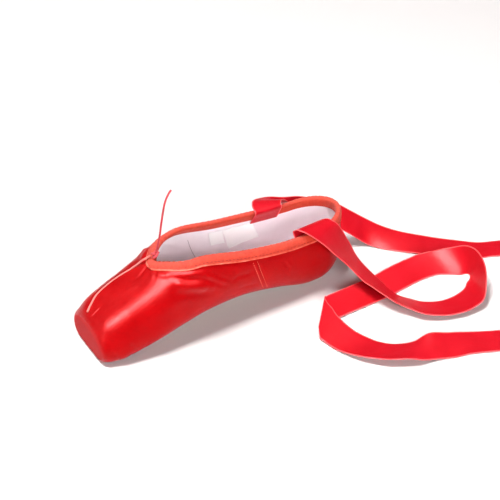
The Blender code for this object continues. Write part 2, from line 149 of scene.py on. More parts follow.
# A smooth curve through rows of numbers, steps points to each span.
def smoothRows(rows, steps):
    rows = np.array(rows, float)
    result = []
    for index in range(len(rows) - 1):
        a, b = rows[max(index - 1, 0)], rows[index]
        c, d = rows[index + 1], rows[min(index + 2, len(rows) - 1)]
        for step in range(steps):
            t = step / steps
            curve = 2 * b + (c - a) * t + (2 * a - 5 * b + 4 * c - d) * t * t + (3 * b - a - 3 * c + d) * t**3
            result.append(0.5 * curve)
    result.append(rows[-1])
    return np.array(result)


def unit(vectors):
    return vectors / np.maximum(np.linalg.norm(vectors, axis=-1, keepdims=True), 1e-12)


def runAlong(points):
    return np.concatenate([[0], np.cumsum(np.linalg.norm(np.diff(points, axis=0), axis=1))])


def ramp(value, start, end):
    share = np.clip((value - start) / (end - start), 0, 1)
    return share * share * (3 - 2 * share)


last = {
    "length": 235 * mm,
    "ballWidth": 73 * mm,
    "heelRound": 0.12,
    "tuckTop": 5 * mm,
    "tuckBottom": 10 * mm,
    "platformRound": 4 * mm,
    "lowerPower": 3.2,
    "upperPower": 2.15,
    "throat": 0.268,
    "throatLength": 0.095,
    "boxWall": 2.6,  # walls in mm, thinning over a span of stations
    "quarterWall": 1.6,
    "wallStart": 0.27,
    "wallSpan": 0.13,
}
# station, half width share, bottom and crown in mm, height share of the widest, width share of the mouth
lastRows = np.array([
    (0.00, 0.735, -0.6, 26.5, 0.45, 0.00),
    (0.06, 0.905, -0.6, 35.5, 0.42, 0.00),
    (0.13, 0.960, 3.0, 43.2, 0.40, 0.00),
    (0.21, 1.000, 7.9, 51.5, 0.38, 0.00),
    (0.30, 0.975, 12.0, 65.5, 0.36, 0.45),
    (0.40, 0.940, 16.0, 75.0, 0.34, 0.64),
    (0.55, 0.890, 17.0, 73.5, 0.34, 0.77),
    (0.70, 0.885, 11.5, 72.5, 0.34, 0.81),
    (0.82, 0.830, 3.0, 73.2, 0.34, 0.81),
    (0.88, 0.785, 1.6, 74.5, 0.34, 0.81),
    (1.00, 0.715, 1.6, 80.5, 0.34, 0.82),
])
# station, half width in mm
soleRows = np.array([
    (0.118, 16.0), (0.20, 20.5), (0.28, 21.5), (0.40, 18.0), (0.55, 14.5),
    (0.70, 15.5), (0.82, 17.5), (0.90, 17.5), (0.965, 16.0),
])
soleMargin = 4 * mm
soleEnd = 0.07


def columnAt(rows, column, position):
    places, values = rows[:, 0], rows[:, column]
    position = np.clip(position, places[0], places[-1])
    span = np.clip(np.searchsorted(places, position, side="right") - 1, 0, len(places) - 2)
    index = np.arange(len(places))
    before, after = np.maximum(index - 1, 0), np.minimum(index + 1, len(places) - 1)
    slope = (values[after] - values[before]) / (places[after] - places[before])
    width = places[span + 1] - places[span]
    t = (position - places[span]) / width
    return (
        values[span] * (1 + 2 * t) * (1 - t) ** 2 + values[span + 1] * t * t * (3 - 2 * t)
        + slope[span] * width * t * (1 - t) ** 2 - slope[span + 1] * width * t * t * (1 - t)
    )


def wallAt(station):
    thinning = np.clip((station - last["wallStart"]) / last["wallSpan"], 0, 1)
    return (last["boxWall"] - (last["boxWall"] - last["quarterWall"]) * thinning) * mm


def section(station, inset):
    radius = np.maximum(last["platformRound"] - inset, 1.5 * mm)
    reach = 1 - np.minimum(station * last["length"] / radius, 1)
    shrink = inset + radius * (1 - np.sqrt(np.maximum(1 - reach * reach, 0)))
    heel = np.maximum(0, (station - 1 + last["heelRound"]) / last["heelRound"])
    halfWidth = columnAt(lastRows, 1, station) * last["ballWidth"] / 2 - shrink
    halfWidth = halfWidth * np.sqrt(np.maximum(0, 1 - heel * heel))
    low = columnAt(lastRows, 2, station) * mm
    high = columnAt(lastRows, 3, station) * mm
    middle = low + (high - low) * columnAt(lastRows, 4, station)
    return halfWidth, low + shrink, middle, high - shrink, shrink


def lastPoint(station, angle, inset=0.0):
    halfWidth, low, middle, high, floor = section(station, inset)
    up = angle >= 0
    power = np.where(up, last["upperPower"], last["lowerPower"])
    across = np.abs(np.cos(angle)) ** (2 / power)
    rise = np.abs(np.sin(angle)) ** (2 / power)
    height = np.where(up, middle + (high - middle) * rise, middle - (middle - low) * rise)
    height = np.maximum(height, floor)
    end = last["length"] - inset - rise * np.where(up, last["tuckTop"], last["tuckBottom"])
    x = inset + station * (end - inset) - last["length"] / 2
    return np.stack([x, halfWidth * across, height], axis=-1)


def mouthAngle(station):
    if station <= last["throat"]:
        return math.pi / 2
    reach = max(0, (last["throat"] + last["throatLength"] - station) / last["throatLength"])
    share = float(columnAt(lastRows, 5, station)) * math.sqrt(1 - reach * reach)
    return math.acos(share ** (last["upperPower"] / 2))


def soleHalfWidth(station):
    first, final = soleRows[0, 0], soleRows[-1, 0]
    if station <= first or station >= final:
        return 0.0
    tip = max(0, 1 - (station - first) / soleEnd)
    heel = max(0, 1 - (final - station) / soleEnd)
    rounding = math.sqrt(1 - tip * tip) * math.sqrt(1 - heel * heel)
    return float(columnAt(soleRows, 1, station)) * mm * rounding


def underAngle(station, inset):
    halfWidth = max(float(section(station, inset)[0]), 0.01 * mm)
    share = min(max(soleHalfWidth(station) - soleMargin, 0) / halfWidth, 1)
    return -math.acos(share ** (last["lowerPower"] / 2))


rowCounts = {"front": 62, "throat": 30, "middle": 100, "heel": 26, "platform": 9, "dense": 500}


def quarterTurn(count):
    return np.linspace(0, math.pi / 2, count)


def shoeStations(fine):
    counts = {part: int(count * fine) for part, count in rowCounts.items()}
    rounded = np.array([0, 0.05, 0.15, 0.3, 0.45, 0.7, 1]) * last["platformRound"] / last["length"]
    front = np.linspace(rounded[-1], last["throat"], counts["front"])[1:]
    throat = last["throat"] + last["throatLength"] * (1 - np.cos(quarterTurn(counts["throat"])))[1:]
    heelStart = 1 - last["heelRound"]
    middle = np.linspace(throat[-1], heelStart, counts["middle"])[1:]
    heel = heelStart + last["heelRound"] * np.sin(quarterTurn(counts["heel"]))[1:]
    return np.concatenate([rounded, front, throat, middle, heel])


def evenAngles(station, inset, count):
    dense = np.linspace(underAngle(station, inset), mouthAngle(station), rowCounts["dense"])
    points = lastPoint(station, dense, inset)
    run = runAlong(points)
    return np.interp(np.linspace(0, run[-1], count), run, dense)


# Half of the shoe's wall as a grid, from the middle of the platform to the back of the heel.
def lastGrid(inside, fine, count):
    rows, places = [], []
    startInset = last["boxWall"] * mm if inside else 0.0
    rim = lastPoint(0.0, evenAngles(0.0, startInset, count), startInset)
    centre = np.array([rim[0, 0], 0, lastPoint(0.0, np.array(0.0), startInset)[2]])
    for share in np.linspace(0, 1, rowCounts["platform"])[:-1]:
        rows.append(centre + (rim - centre) * share)
        places.append(-1 + share)
    for station in shoeStations(fine):
        inset = float(wallAt(station)) if inside else 0.0
        rows.append(lastPoint(station, evenAngles(station, inset, count), inset))
        places.append(station)
    return np.array(rows), np.array(places)


def newMaterial(name):
    material = bpy.data.materials.new(name)
    material.use_nodes = True
    nodes, links = material.node_tree.nodes, material.node_tree.links
    return material, nodes, links, nodes["Principled BSDF"]


def addNode(nodes, kind, **inputs):
    node = nodes.new("ShaderNode" + kind)
    for key, value in inputs.items():
        label = key.replace("_", " ")
        if label in node.inputs:
            node.inputs[label].default_value = value
        else:
            setattr(node, key, value)
    return node


def addColour(nodes, links, blend, first, second, factor):
    mix = addNode(nodes, "Mix", data_type="RGBA", blend_type=blend)
    for socket, value in ((mix.inputs[0], factor), (mix.inputs[6], first), (mix.inputs[7], second)):
        if isinstance(value, (float, tuple)):
            socket.default_value = value
        else:
            links.new(value, socket)
    return mix.outputs[2]


clothRelief = {
    "threadHeight": 0.12 * mm, "threadWaver": 1.5, "slub": 5, "broadStrength": 0.25, "broadHeight": 36 * mm,
    "streakScale": 900.0, "streakShape": (0.35, 1.6, 1.0), "glossBelow": 0.05, "glossAbove": 0.07,
    "patchStart": 0.32, "patchEnd": 0.68, "sheenRough": 0.4,
}


# Woven cloth: crossing threads in the bump, slow patches in the colour and roughness. Border is a
# darker, duller colour beyond a place along X; edge is a paler woven edge beyond a place across the UV,
# its paleness a painted highlight along the ribbon's edges.
def clothMaterial(name, colour, shade, rough, thread, weave, patch=60, coordinates="UV", warp=(1, 1),
                  grain=0.0, level=0.12, tint=None, sheen=0.0, border=None, edge=None):
    material, nodes, links, shader = newMaterial(name)
    place = addNode(nodes, "TexCoord")
    objectPlace, clothPlace = place.outputs["Object"], place.outputs[coordinates]
    patches = addNode(nodes, "TexNoise", Scale=patch, Detail=4.0, Roughness=0.55)
    links.new(objectPlace, patches.inputs["Vector"])
    blend = addNode(nodes, "ValToRGB")
    ends = ((clothRelief["patchStart"], shade), (clothRelief["patchEnd"], colour))
    for element, (position, dye) in zip(blend.color_ramp.elements, ends):
        element.position = position
        element.color = (*dye, 1)
    links.new(patches.outputs["Fac"], blend.inputs["Fac"])
    finalColour = blend.outputs["Color"]
    if grain:
        streakMap = addNode(nodes, "Mapping", Scale=clothRelief["streakShape"])
        streaks = addNode(nodes, "TexNoise", Scale=clothRelief["streakScale"], Detail=2.0)
        links.new(clothPlace, streakMap.inputs["Vector"])
        links.new(streakMap.outputs["Vector"], streaks.inputs["Vector"])
        streakRange = addNode(nodes, "MapRange", To_Min=1 - grain, To_Max=1 + grain)
        links.new(streaks.outputs["Fac"], streakRange.inputs["Value"])
        finalColour = addColour(nodes, links, "MULTIPLY", finalColour, streakRange.outputs["Result"], 1.0)
    lowest, highest = rough - clothRelief["glossBelow"], rough + clothRelief["glossAbove"]
    gloss = addNode(nodes, "MapRange", To_Min=lowest, To_Max=highest)
    links.new(patches.outputs["Fac"], gloss.inputs["Value"])
    finalGloss = gloss.outputs["Result"]
    for rule in (border, edge):
        if not rule:
            continue
        axes = addNode(nodes, "SeparateXYZ")
        links.new(objectPlace if rule is border else clothPlace, axes.inputs[0])
        where = axes.outputs[0]
        if rule is edge:
            size = addNode(nodes, "Math", operation="ABSOLUTE")
            links.new(where, size.inputs[0])
            where = size.outputs[0]
        fray = addNode(nodes, "TexNoise", Scale=rule["fray"], Detail=3.0)
        links.new(objectPlace, fray.inputs["Vector"])
        ragged = addNode(nodes, "Math", operation="MULTIPLY_ADD")
        ragged.inputs[1].default_value = rule["ragged"]
        links.new(fray.outputs["Fac"], ragged.inputs[0])
        links.new(where, ragged.inputs[2])
        mask = addNode(nodes, "MapRange", From_Min=rule["start"], From_Max=rule["end"])
        links.new(ragged.outputs[0], mask.inputs["Value"])
        covered = mask.outputs["Result"]
        finalColour = addColour(nodes, links, "MIX", finalColour, (*rule["colour"], 1), covered)
        worn = addNode(nodes, "Mix")
        worn.inputs[3].default_value = rule["rough"]
        links.new(covered, worn.inputs[0])
        links.new(finalGloss, worn.inputs[2])
        finalGloss = worn.outputs[0]
    links.new(finalColour, shader.inputs["Base Color"])
    links.new(finalGloss, shader.inputs["Roughness"])
    both = addNode(nodes, "Math")
    for socket, direction, share in zip(both.inputs, "XY", warp):
        threads = addNode(nodes, "TexWave", Scale=thread, Distortion=clothRelief["threadWaver"], Detail=1.0,
                          bands_direction=direction)
        links.new(clothPlace, threads.inputs["Vector"])
        scaled = addNode(nodes, "Math", operation="MULTIPLY")
        scaled.inputs[1].default_value = share
        links.new(threads.outputs["Fac"], scaled.inputs[0])
        links.new(scaled.outputs["Value"], socket)
    height = both.outputs["Value"]
    if grain:
        slub = addNode(nodes, "Math", operation="MULTIPLY_ADD")
        slub.inputs[1].default_value = clothRelief["slub"] * grain
        links.new(streaks.outputs["Fac"], slub.inputs[0])
        links.new(height, slub.inputs[2])
        height = slub.outputs["Value"]
    fine = addNode(nodes, "Bump", Strength=weave, Distance=clothRelief["threadHeight"])
    links.new(height, fine.inputs["Height"])
    soft = addNode(nodes, "TexNoise", Scale=patch * 4, Detail=3.0)
    links.new(objectPlace, soft.inputs["Vector"])
    broad = addNode(nodes, "Bump", Strength=clothRelief["broadStrength"],
                    Distance=clothRelief["broadHeight"] / patch)
    links.new(soft.outputs["Fac"], broad.inputs["Height"])
    links.new(fine.outputs["Normal"], broad.inputs["Normal"])
    links.new(broad.outputs["Normal"], shader.inputs["Normal"])
    shader.inputs["Specular IOR Level"].default_value = level
    if tint:
        shader.inputs["Specular Tint"].default_value = (*tint, 1)
    shader.inputs["Sheen Weight"].default_value = sheen
    shader.inputs["Sheen Roughness"].default_value = clothRelief["sheenRough"]
    return material


platformEdge = {
    "start": -116.2 * mm, "end": -116.9 * mm, "colour": (0.42, 0.018, 0.020), "rough": 0.85,
    "fray": 900, "ragged": 0.6 * mm,
}
# The ribbons' woven edge, painted paler as a highlight along both edges.
selvedgePaintedHighlight = {
    "start": 11.5 * mm, "end": 12.0 * mm, "colour": (0.85, 0.10, 0.11), "rough": 0.5,
    "fray": 300, "ragged": 0.1 * mm,
}
satinGloss = (1, 0.12, 0.12)
casingDye = (0.62, 0.058, 0.028)
sewingThread = dict(rough=0.6, thread=900, weave=0.2, patch=300, coordinates="Object")
twistedCord = dict(rough=0.6, thread=900, weave=0.5, patch=300, sheen=0.1)
# Colours are linear, thread and patch are scales of their textures, grain is how far streaks vary the dye.
clothLooks = {
    "satin": dict(
        colour=(0.40, 0.0004, 0.0018), shade=(0.34, 0.0003, 0.0015), rough=0.32, thread=520, weave=0.5,
        warp=(1, 0.35), grain=0.45, level=0.5, tint=satinGloss, border=platformEdge),
    "ribbon_satin": dict(
        colour=(0.53, 0.006, 0.016), shade=(0.46, 0.004, 0.011), rough=0.38, thread=420, weave=0.3, patch=40,
        warp=(0.4, 1), grain=0.06, level=0.4, tint=satinGloss, edge=selvedgePaintedHighlight),
    "casing": dict(
        colour=casingDye, shade=(0.54, 0.040, 0.020), rough=0.85, thread=330, weave=1.0, patch=260,
        grain=0.10, sheen=0.1),
    # A paler coral than the casing: a painted highlight along the raised fold under the casing's lower edge.
    "piping_painted_highlight": dict(colour=(0.84, 0.21, 0.14), shade=casingDye, rough=0.5, thread=600, weave=0.3, patch=200),
    "lining_canvas": dict(
        colour=(0.94, 0.87, 0.905), shade=(0.90, 0.825, 0.86), rough=0.9, thread=300, weave=0.6, patch=70),
    "sock": dict(
        colour=(0.88, 0.81, 0.83), shade=(0.82, 0.75, 0.77), rough=0.9, thread=260, weave=0.6, patch=90,
        coordinates="Object"),
    "label_cloth": dict(
        colour=(1.0, 1.0, 1.0), shade=(0.98, 0.98, 0.98), rough=0.8, thread=500, weave=0.4, patch=100),
    "sole_leather": dict(
        colour=(0.62, 0.47, 0.33), shade=(0.50, 0.36, 0.24), rough=0.7, thread=90, weave=0.1, patch=220,
        coordinates="Object"),
    "thread_red": dict(sewingThread, colour=(0.34, 0.012, 0.012), shade=(0.28, 0.01, 0.01)),
    "thread_coral": dict(sewingThread, colour=(0.85, 0.19, 0.13), shade=(0.75, 0.14, 0.10)),
    "thread_grey": dict(sewingThread, colour=(0.55, 0.49, 0.51), shade=(0.48, 0.42, 0.44), rough=0.8),
    "cord": dict(twistedCord, colour=(0.60, 0.05, 0.065), shade=(0.50, 0.035, 0.045)),
    # A paler copy of the cord's dye: painted light for the drawstring's lying end, which faces the lamps.
    "cord_painted_lit": dict(twistedCord, colour=(0.80, 0.22, 0.19), shade=(0.72, 0.17, 0.15)),
}
cloth = {name: clothMaterial(name, **look) for name, look in clothLooks.items()}
print("materials made")

# A fold is the least sine of the slant at which the ribbon may cross its own line.
ribbon = {
    "width": 25 * mm, "thickness": 0.45 * mm, "nearFold": 0.7, "farFold": 1.0, "steps": 6, "columns": 25,
    "offFloor": 0.15 * mm,
}
# Edges in mm from the platform, one row across the ribbon: first edge x y z, second edge x y z.
nearRibbonRows = (
    (177.5, -26.9, 45.0, 202.5, -24.3, 45.0),
    (177.5, -22.9, 52.0, 202.5, -20.4, 52.0),
    (177.5, -19.1, 58.9, 202.5, -17.3, 58.9),
    (182, -25, 63, 206, -21, 62),
    (190, -32, 58, 214, -26, 57),
    (201, -36, 47, 223, -27, 41),
    (211, -39, 34, 231, -29, 26),
    (218, -46, 24, 237, -35, 16),
    (223, -56, 17, 240, -47, 10),
    (226, -67, 15, 242, -58, 7),
    (230, -78, 12, 244, -66, 4),
    (235, -89, 9, 247, -73, 2),
    (242, -100, 7, 252, -80, 1),
    (250, -111, 6, 259, -89, 1),
    (262, -118, 5, 272, -96, 1),
    (277, -121, 5, 286, -99, 2),
    (291, -119, 6, 300, -97, 2),
    (302, -114, 8, 309, -92, 2),
    (310, -106, 13, 316, -87, 2),
    (317, -96, 17, 319, -82, 1),
    (322, -82, 18, 319, -78, 1),
    (322, -69, 16, 317, -75, 1),
    (318, -58, 12, 313, -73, 1),
    (308, -48, 9, 306, -69, 1),
    (294, -42, 8, 296, -65, 1),
    (277, -41, 7, 281, -64, 1),
    (257, -43, 7, 260, -66, 1),
    (238, -45, 6, 241, -69, 1),
    (223, -45, 6, 223, -70, 1),
    (210, -44, 6, 205, -72, 1),
    (202, -43, 6, 189, -74, 1),
    (197, -43, 6, 174, -76, 2),
    (194, -44, 7, 165, -77, 3),
    (191, -49, 8, 162, -80, 4),
    (188, -58, 8, 160, -84, 3),
    (187, -67, 7, 159, -88, 2),
    (187, -76, 7, 159, -94, 1),
    (188, -86, 6, 160, -102, 1),
    (190, -96, 5, 162, -110, 2),
    (193, -106, 4, 167, -119, 4),
    (198, -115, 3, 173, -128, 6),
    (206, -125, 3, 186, -138, 7),
    (218, -131, 4, 203, -146, 7),
    (232, -134, 8, 220, -151, 3),
    (247, -138, 5, 236, -156, 1),
    (265, -142, 2, 250, -161, 1),
    (286, -151, 1, 271, -170, 1),
    (302, -158, 1, 287, -177, 1),
)
farRibbonRows = (
    (165.5, 28.0, 45.0, 190.5, 25.6, 45.0),
    (165.5, 23.9, 52.0, 190.5, 21.6, 52.0),
    (165.5, 19.8, 59.4, 190.5, 17.8, 59.4),
    (168, 28, 62, 190, 20, 61),
    (175, 36, 61, 196, 27, 60),
    (189, 41, 56, 206, 32, 50),
    (205, 42, 51, 216, 31, 33),
    (222, 40, 48, 230, 30, 27),
    (238, 35, 43, 243, 22, 23),
    (254, 28, 37, 252, 13, 17),
    (266, 22, 29, 262, 6, 9),
    (277, 17, 20, 271, 1, 3),
    (289, 9, 12, 281, -10, 1),
    (302, -1, 7, 291, -21, 1),
    (315, -12, 5, 303, -33, 1),
    (329, -23, 3, 314, -43, 1),
    (344, -36, 2, 328, -55, 1),
    (358, -46, 1, 341, -65, 1),
    (374, -53, 1, 355, -70, 1),
    (385, -57, 1, 375, -79, 1),
    (404, -63, 2, 396, -87, 1),
    (428, -73, 4, 416, -95, 1),
    (451, -86, 7, 437, -106, 1),
    (473, -107, 9, 451, -117, 1),
    (482, -134, 10, 458, -132, 1),
    (474, -162, 9, 454, -146, 1),
    (453, -179, 7, 441, -157, 1),
    (428, -186, 4, 424, -162, 1),
    (403, -187, 2, 403, -163, 1),
    (378, -184, 1, 382, -160, 1),
    (355, -180, 1, 359, -156, 1),
    (334, -178, 1, 336, -154, 1),
)


def addRibbon(name, node, rows, foldSlant):
    table = smoothRows(rows, ribbon["steps"]) * mm
    table[:, (0, 3)] -= last["length"] / 2
    first, second = table[:, :3], table[:, 3:]
    middle = (first + second) / 2
    across = unit(second - first)
    along = unit(np.gradient(middle, axis=0))
    slant = np.maximum(np.linalg.norm(np.cross(along, across), axis=1), foldSlant)
    half = across * (ribbon["width"] / 2 / slant)[:, None]
    face = unit(np.cross(along, across))
    low = np.minimum((middle + half)[:, 2], (middle - half)[:, 2])
    low = low - np.abs(face[:, 2]) * ribbon["thickness"] / 2
    middle[:, 2] += np.maximum(ribbon["offFloor"] - low, 0)
    run = runAlong(middle)
    share = np.linspace(-1, 1, ribbon["columns"])
    points = middle[:, None] + half[:, None] * share[None, :, None]
    uv = np.stack(np.broadcast_arrays(share[None] * ribbon["width"] / 2, run[:, None]), axis=-1)
    item = gridPiece(name, ribbon["columns"], len(middle), points, uv)
    addWall(item, ribbon["thickness"])
    finishPiece(item, cloth["ribbon_satin"])
    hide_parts(node)
    print(name, "length", round(float(run[-1]), 3))


addRibbon("near_ankle_ribbon", "ribbon_near", nearRibbonRows, ribbon["nearFold"])
addRibbon("far_ankle_ribbon", "ribbon_far", farRibbonRows, ribbon["farFold"])

drawstring = {
    "diameter": 1.6 * mm, "sides": 12, "lean": -0.35,
    "knotDiameter": 2.0 * mm, "knotPlace": (1.5, 1.2, 5.1), "knotSteps": 22, "knotTurn": 30 * 0.97,
    "knotRing": 1.9, "knotSway": 0.9, "knotHeight": 1.55, "knotLobes": 1.5,
}
# station, degrees up from the side of the shoe, clearance in mm
lyingRows = (
    (0.266, 85, 3.6), (0.256, 82, 2.9), (0.243, 78, 2.2), (0.225, 73, 0.9), (0.205, 69, 0.3),
    (0.180, 66, 0.3), (0.150, 64, 0.3), (0.110, 64, 0.3), (0.075, 67, 0.3), (0.045, 74, 0.3),
    (0.022, 80, 0.3),
)
# mm from the middle of the knot
standingRows = (
    (1, 0, 3), (2, -1, 9), (3.5, -2, 17), (5.5, -2, 28),
    (7.5, -2, 38), (9.5, -2, 45.5), (12, -2, 50.5), (15, -2, 54.5),
)


def addTube(name, points, diameter, sides):
    points = np.array(points, float)
    along = unit(np.gradient(points, axis=0))
    frames = []
    normal = Vector(along[0]).orthogonal().normalized()
    for direction in along:
        direction = Vector(direction)
        normal = (normal - direction * normal.dot(direction)).normalized()
        frames.append((normal.copy(), direction.cross(normal)))
    run = runAlong(points)
    turn = np.linspace(0, 2 * math.pi, sides + 1)
    grid, uv = [], []
    count = len(points)
    for index in [0] + list(range(count)) + [count - 1]:
        closed = (index == 0 and len(grid) == 0) or len(grid) == count + 1
        a, b = (np.array(v) for v in frames[index])
        size = 0 if closed else diameter / 2
        grid.append(points[index] + size * (np.cos(turn)[:, None] * a + np.sin(turn)[:, None] * b))
        uv.append(np.stack([turn * diameter / 2, np.full_like(turn, run[index])], axis=-1))
    item = gridPiece(name, sides + 1, len(grid), np.array(grid), np.array(uv))
    mergeAndTurnOut(item, 0.005 * mm)
    return item


def addDrawstring():
    knotCentre = lastPoint(last["throat"], np.array(math.pi / 2)) + np.array(drawstring["knotPlace"]) * mm
    points = []
    for step in range(drawstring["knotSteps"]):
        turn = math.radians(step * drawstring["knotTurn"])
        ring = drawstring["knotRing"] + drawstring["knotSway"] * math.cos(drawstring["knotLobes"] * turn)
        height = drawstring["knotHeight"] * math.sin(drawstring["knotLobes"] * turn)
        points.append(knotCentre + np.array([ring * math.cos(turn), ring * math.sin(turn), height]) * mm)
    path = smoothRows(points, 5)
    knot = addTube("drawstring_bow_knot", path, drawstring["knotDiameter"], drawstring["sides"])
    finishPiece(knot, cloth["cord"])
    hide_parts("drawstring_knot")

    points = []
    for station, degrees, lift in lyingRows:
        angle = math.radians(degrees)
        outward = unit(np.array([drawstring["lean"], math.cos(angle), math.sin(angle)]))
        lifted = outward * (drawstring["diameter"] / 2 + lift * mm)
        points.append(lastPoint(station, np.array(angle)) + lifted)
    lying = smoothRows(points, 6)
    standing = smoothRows([knotCentre + np.array(row) * mm for row in standingRows], 6)
    # Both ends are one cord; the lying end gets the paler copy of its dye as painted light.
    ends = (
        ("drawstring_lying", lying, "drawstring_end_lying", "cord_painted_lit"),
        ("drawstring_standing", standing, "drawstring_end_standing", "cord"),
    )
    for name, path, node, material in ends:
        item = addTube(name, path, drawstring["diameter"], drawstring["sides"])
        finishPiece(item, cloth[material])
        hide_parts(node)


addDrawstring()
print("ribbons and drawstring laid")

upper = {"fine": 1.05, "around": 100, "thickness": 0.7 * mm, "offFloor": 0.05 * mm}
lining = {"fine": 0.6, "around": 56, "thickness": 0.5 * mm}
shoeMiddle = np.array([0, 0, 25 * mm])
halfGirth = 100 * mm  # of the cloth, for its weave
guide = {"fine": 0.6, "around": 40, "throat": 60, "side": 80, "heel": 40, "collar": 160}
# Legs are the casing's outer and inner face: share of the depth below the rim, share of the thickness.
casing = {
    "depth": 7 * mm, "throatDepth": 6 * mm, "throatReach": 45 * mm, "inside": 8 * mm, "gap": 0.45 * mm,
    "thick": 1.1 * mm, "count": 900,
    "stitchLength": 2.4 * mm, "stitchWidth": 0.7 * mm, "stitchPitch": 3.3 * mm, "stitchDepth": 0.80,
    "stitchLift": 0.86, "piping_painted_highlight": 1.4 * mm, "pipingDrop": 0.45 * mm, "pipingLift": 0.42,
    "outsideLeg": ((1, 0.35), (0.985, 0.75), (0.92, 1.0), (0.84, 1.05), (0.80, 0.78), (0.76, 1.05),
                   (0.62, 1.2), (0.45, 1.3), (0.28, 1.25), (0.12, 1.2)),
    "insideLeg": ((0.1, 0.45), (0.35, 0.55), (0.6, 0.55), (0.88, 0.5), (1, 0.3)),
    "gathers": ((0.12, 5.3, 0), (0.10, 2.9, 1)),  # size, period in mm, phase
    "throatGather": (0.3, 4.3, 0), "throatPlace": -54.5 * mm, "throatSpread": 18 * mm,
    "edgeWave": (0.02, 23, 0),
}


def casingDepth(x):
    start = (last["throat"] - 0.5) * last["length"]
    growth = ramp(x, start, start + casing["throatReach"])
    return casing["throatDepth"] + (casing["depth"] - casing["throatDepth"]) * growth


# Each crease: height in mm (minus is a trough), width in mm, then its points in mm.
nearCreases = (
    (2.0, 9.0, (-114, -16, 25), (-100, -19, 33), (-79, -20, 42), (-63, -21, 50), (-53, -22, 56)),
    (-2.0, 9.5, (-115, -27, 15), (-96, -33, 23), (-75, -35, 30), (-58, -36, 34), (-47, -36, 37),
     (-33, -35, 37)),
    (1.2, 2.4, (-61, -9, 55), (-55, -17, 57), (-44, -24, 57), (-30, -29, 57)),
    (-1.7, 2.2, (-52, -21, 57), (-43, -27, 55), (-31, -31, 53), (-13, -33, 42)),
    (1.8, 3.8, (-53, -25, 54), (-44, -30, 51), (-34, -32, 48), (-26, -34, 44)),
    (-1.1, 3.6, (-55, -30, 48), (-46, -33, 46), (-34, -34, 43), (-22, -34, 40)),
    (0.8, 2.4, (-28, -30, 56), (-21, -32, 51), (-11, -33, 43)),
    (-0.7, 1.8, (-23, -30, 57), (-17, -32, 51), (-8, -33, 45)),
    (0.4, 3.6, (-2, -31, 53), (6, -31, 51), (13, -31, 49)),
    (-0.45, 2.2, (-6, -33, 43), (2, -32, 45), (9, -32, 44), (15, -32, 45)),
    (-0.3, 1.6, (0, -34, 34), (9, -33, 33), (18, -32, 31)),
    (-0.7, 1.1, (15, -31, 54), (18, -32, 41), (22, -31, 30), (24, -30, 23)),
    (0.45, 1.4, (17, -31, 54), (20, -32, 41), (24, -31, 30), (26, -30, 23)),
    (-0.7, 1.0, (19, -31, 54), (22, -32, 41), (26, -31, 30), (28, -30, 22)),
    (-0.45, 1.5, (44, -32, 42), (47, -32, 36), (46, -32, 31)),
    (0.3, 1.6, (47, -32, 41), (50, -32, 36), (49, -32, 31)),
    (-0.4, 1.6, (30, -33, 52), (44, -33, 50), (58, -32, 50)),
    (-1.3, 0.9, (-95, -34, 18), (-91, -34, 10), (-89, -32, 5)),
    (-1.2, 0.8, (-91, -34, 17), (-87, -34, 10), (-85, -32, 5)),
    (-1.0, 0.8, (-83, -35, 15), (-80, -34, 9)),
    (-1.1, 0.8, (-108, -31, 12), (-105, -30, 5)),
)
throatCreases = (
    (-0.5, 1.7, (-58, 3, 59), (-64, 2, 55), (-71, 0, 51)),
    (0.3, 4.5, (-57, -8, 59), (-64, -12, 53), (-75, -15, 46)),
    (-0.3, 1.6, (-58, -7, 58), (-61, -11, 56), (-65, -15, 53)),
    (-0.3, 2.0, (-57, 9, 59), (-62, 14, 55), (-66, 18, 51)),
)


farSide = {"height": 0.85, "width": 1.1, "shift": -1.5}
creaseEnds = {"lead": 0.15, "start": 0.45, "trail": 0.7, "drop": 0.6}
creaseField = {
    "underCasing": (-1.2 * mm, 1.6 * mm), "platform": (0.006, 0.03), "heel": (0.095, 0.115), "heelDrop": 0.5,
}


# The far side has the near side's creases, a little lower, wider and further to the toe.
def mirrored(creases):
    result = []
    for height, width, *path in creases:
        moved = [(x + farSide["shift"], -y, z) for x, y, z in path]
        result.append((height * farSide["height"], width * farSide["width"], *moved))
    return tuple(result)


def gapToSpan(points, start, end):
    step = end - start
    t = np.clip(((points - start) @ step) / max(step @ step, 1e-12), 0, 1)
    return np.linalg.norm(points - start - t[:, None] * step, axis=1), t


def creaseHeight(points, creases):
    total = np.zeros(len(points))
    for height, width, *path in creases:
        path = smoothRows(path, 5) * mm
        best = np.full(len(points), 1e9)
        share = np.zeros(len(points))
        run = runAlong(path)
        for index in range(len(path) - 1):
            gap, t = gapToSpan(points, path[index], path[index + 1])
            closer = gap < best
            best = np.where(closer, gap, best)
            share = np.where(closer, (run[index] + t * (run[index + 1] - run[index])) / run[-1], share)
        taper = ramp(share, 0, creaseEnds["lead"]) * (1 - creaseEnds["start"]) + creaseEnds["start"]
        taper = taper * (1 - creaseEnds["drop"] * ramp(share, creaseEnds["trail"], 1.0))
        total += height * mm * np.exp(-((best / (width * mm)) ** 2)) * taper
    return total


def collarLine():
    stations = np.linspace(last["throat"], 1, guide["collar"])
    side = np.array([lastPoint(s, np.array(mouthAngle(s))) for s in stations])
    return np.concatenate([side * (1, -1, 1), side[::-1]])


def gapTo(points, path):
    best = np.full(len(points), 1e9)
    for start, end in zip(path, path[1:]):
        best = np.minimum(best, gapToSpan(points, start, end)[0])
    return best


# A half of the shoe on one side, with its normals facing out.
def sideOf(base, side):
    across = unit(np.cross(np.gradient(base, axis=1), np.gradient(base, axis=0)))
    points, normals = base * (1, side, 1), across * (1, side, 1)
    inward = (normals * (points - shoeMiddle)).sum(-1) < 0
    return points, np.where(inward[..., None], -normals, normals)


pleat = {
    "tip": -89.5 * mm, "count": 9, "height": 0.55 * mm, "sharpness": 0.6, "top": (6 * mm, 14 * mm),
    "turn": (1.4, 2.1), "reach": (8 * mm, 16 * mm), "start": 0.02,
}


